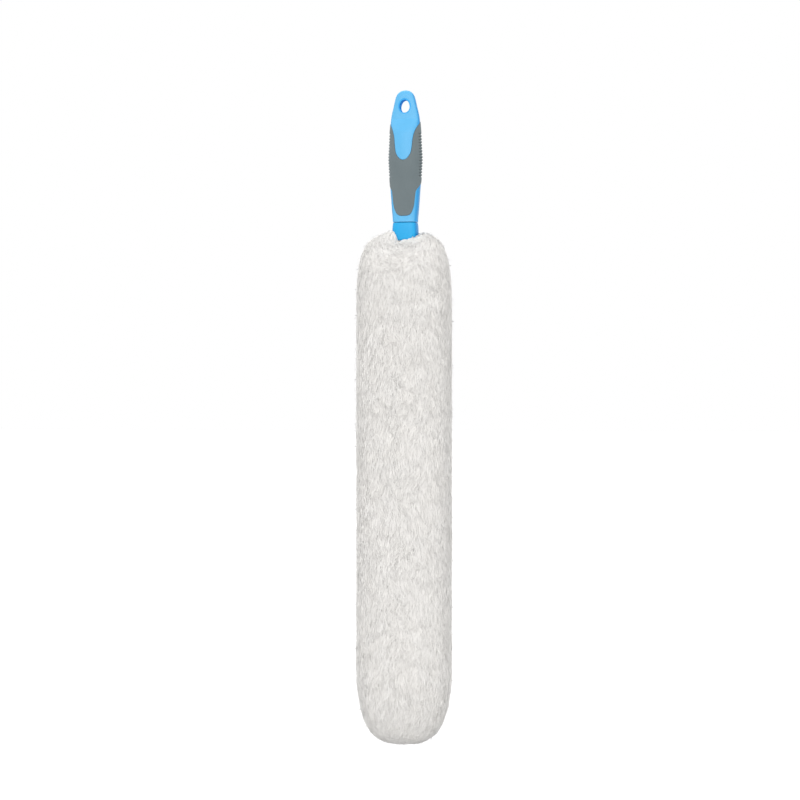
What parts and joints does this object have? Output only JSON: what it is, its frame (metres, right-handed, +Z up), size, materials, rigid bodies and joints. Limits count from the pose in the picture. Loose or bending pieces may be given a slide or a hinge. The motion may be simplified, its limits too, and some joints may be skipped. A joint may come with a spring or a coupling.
{
  "type": "microfiber duster",
  "caption": "Long bendable duster: fluffy white microfibre sleeve on a flat flexible frame that plugs into a blue two-shot handle with a ribbed grey grip and a hanging hole.",
  "frame": {"origin": "centre of the hanging hole in the handle's loop, on the handle's long axis and midway through its thickness", "axes": "+Z up along the handle from the head to the loop, front of the handle faces -Y, +X to the right of the front"},
  "size_m": [0.0982, 0.0863, 0.651],
  "materials": {
    "handle_blue": "satin-gloss moulded polypropylene, sky blue",
    "grip_grey": "matt soft-touch elastomer, warm grey",
    "frame_blue": "satin moulded polypropylene, deeper blue",
    "core_wire": "drawn soft steel wire",
    "sleeve_pile": "off-white brushed microfibre pile",
    "cuff_elastic": "white knitted elastic"
  },
  "bodies": {
    "handle": {"handle_body": "handle_blue", "grip_overmould": "grip_grey"},
    "head_base": {"frame_root": "frame_blue", "core_wire_00": "core_wire", "cuff_elastic": "cuff_elastic", "pile_shoulder": "sleeve_pile"},
    "link_01": {"spine_link_01": "frame_blue", "core_wire_01": "core_wire", "pile_01": "sleeve_pile"},
    "link_02": {"spine_link_02": "frame_blue", "core_wire_02": "core_wire", "pile_02": "sleeve_pile"},
    "link_03": {"spine_link_03": "frame_blue", "core_wire_03": "core_wire", "pile_03": "sleeve_pile"},
    "link_04": {"spine_link_04": "frame_blue", "core_wire_04": "core_wire", "pile_04": "sleeve_pile"},
    "link_05": {"spine_link_05": "frame_blue", "core_wire_05": "core_wire", "pile_05": "sleeve_pile"},
    "link_06": {"spine_link_06": "frame_blue", "core_wire_06": "core_wire", "pile_06": "sleeve_pile"},
    "link_07": {"spine_link_07": "frame_blue", "core_wire_07": "core_wire", "pile_07": "sleeve_pile"},
    "link_08": {"spine_link_08": "frame_blue", "core_wire_08": "core_wire", "pile_08": "sleeve_pile"},
    "link_09": {"spine_link_09": "frame_blue", "core_wire_09": "core_wire", "pile_09": "sleeve_pile"},
    "link_10": {"spine_link_10": "frame_blue", "core_wire_10": "core_wire", "pile_10": "sleeve_pile"},
    "link_11": {"spine_link_11": "frame_blue", "core_wire_11": "core_wire", "pile_11": "sleeve_pile"},
    "link_12": {"spine_link_12": "frame_blue", "core_wire_12": "core_wire", "tip_cap": "frame_blue", "pile_tip": "sleeve_pile"}
  },
  "joints": [
    {"name": "head_release", "type": "slide", "parent": "handle", "child": "head_base", "axis": [0, 0, -1], "range_m": [0, 0.04]},
    {"name": "bend_01", "type": "hinge", "parent": "head_base", "child": "link_01", "pos_m": [0, 0, -0.15], "axis": [1, 0, 0], "range_deg": [-7.5, 7.5]},
    {"name": "bend_02", "type": "hinge", "parent": "link_01", "child": "link_02", "pos_m": [0, 0, -0.19], "axis": [1, 0, 0], "range_deg": [-7.5, 7.5]},
    {"name": "bend_03", "type": "hinge", "parent": "link_02", "child": "link_03", "pos_m": [0, 0, -0.23], "axis": [1, 0, 0], "range_deg": [-7.5, 7.5]},
    {"name": "bend_04", "type": "hinge", "parent": "link_03", "child": "link_04", "pos_m": [0, 0, -0.27], "axis": [1, 0, 0], "range_deg": [-7.5, 7.5]},
    {"name": "bend_05", "type": "hinge", "parent": "link_04", "child": "link_05", "pos_m": [0, 0, -0.31], "axis": [1, 0, 0], "range_deg": [-7.5, 7.5]},
    {"name": "bend_06", "type": "hinge", "parent": "link_05", "child": "link_06", "pos_m": [0, 0, -0.35], "axis": [1, 0, 0], "range_deg": [-7.5, 7.5]},
    {"name": "bend_07", "type": "hinge", "parent": "link_06", "child": "link_07", "pos_m": [0, 0, -0.39], "axis": [1, 0, 0], "range_deg": [-7.5, 7.5]},
    {"name": "bend_08", "type": "hinge", "parent": "link_07", "child": "link_08", "pos_m": [0, 0, -0.43], "axis": [1, 0, 0], "range_deg": [-7.5, 7.5]},
    {"name": "bend_09", "type": "hinge", "parent": "link_08", "child": "link_09", "pos_m": [0, 0, -0.47], "axis": [1, 0, 0], "range_deg": [-7.5, 7.5]},
    {"name": "bend_10", "type": "hinge", "parent": "link_09", "child": "link_10", "pos_m": [0, 0, -0.51], "axis": [1, 0, 0], "range_deg": [-7.5, 7.5]},
    {"name": "bend_11", "type": "hinge", "parent": "link_10", "child": "link_11", "pos_m": [0, 0, -0.55], "axis": [1, 0, 0], "range_deg": [-7.5, 7.5]},
    {"name": "bend_12", "type": "hinge", "parent": "link_11", "child": "link_12", "pos_m": [0, 0, -0.59], "axis": [1, 0, 0], "range_deg": [-7.5, 7.5]}
  ],
  "couplings": [
    {"joint": "bend_02", "follows": "bend_01", "ratio": 1},
    {"joint": "bend_03", "follows": "bend_01", "ratio": 1},
    {"joint": "bend_04", "follows": "bend_01", "ratio": 1},
    {"joint": "bend_06", "follows": "bend_05", "ratio": 1},
    {"joint": "bend_07", "follows": "bend_05", "ratio": 1},
    {"joint": "bend_08", "follows": "bend_05", "ratio": 1},
    {"joint": "bend_10", "follows": "bend_09", "ratio": 1},
    {"joint": "bend_11", "follows": "bend_09", "ratio": 1},
    {"joint": "bend_12", "follows": "bend_09", "ratio": 1}
  ]
}
